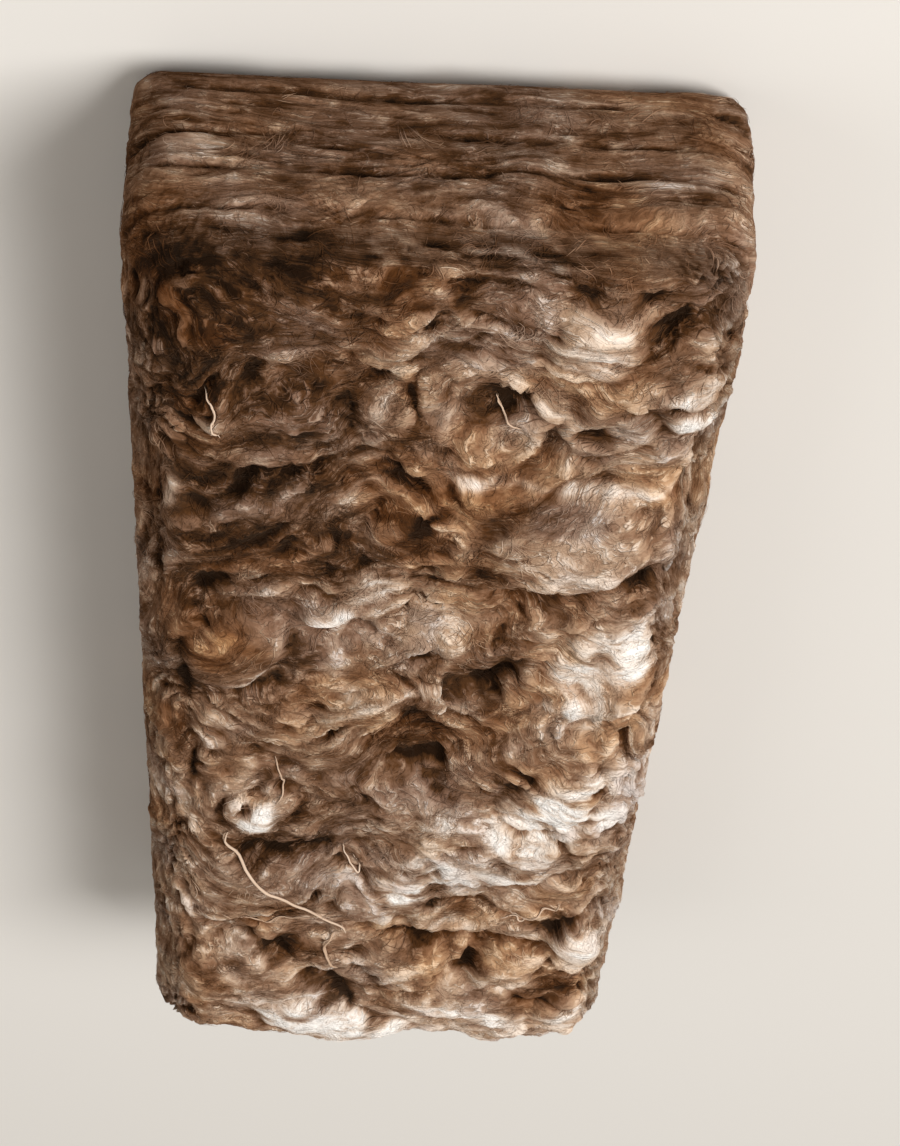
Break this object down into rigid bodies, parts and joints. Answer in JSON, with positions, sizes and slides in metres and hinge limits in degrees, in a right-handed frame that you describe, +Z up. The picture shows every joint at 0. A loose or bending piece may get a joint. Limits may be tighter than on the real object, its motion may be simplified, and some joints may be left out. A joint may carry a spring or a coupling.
{
  "type": "ceiling insulation batt",
  "caption": "Soft rectangular batt of brown glass wool with a billowed room face, a flat back and straight slit sides, held by friction between ceiling members.",
  "frame": {"origin": "centre of the flat back face, which the batt lies on", "axes": "+X across the batt to a slit side, +Y along its length, +Z up out of the billowed room face"},
  "size_m": [0.43, 1.16, 0.1943],
  "materials": {
    "glass_wool": "matt brown glass wool, with pale wisps and dark hollows"
  },
  "bodies": {
    "root": {"glass_wool_batt": "glass_wool"}
  },
  "joints": []
}
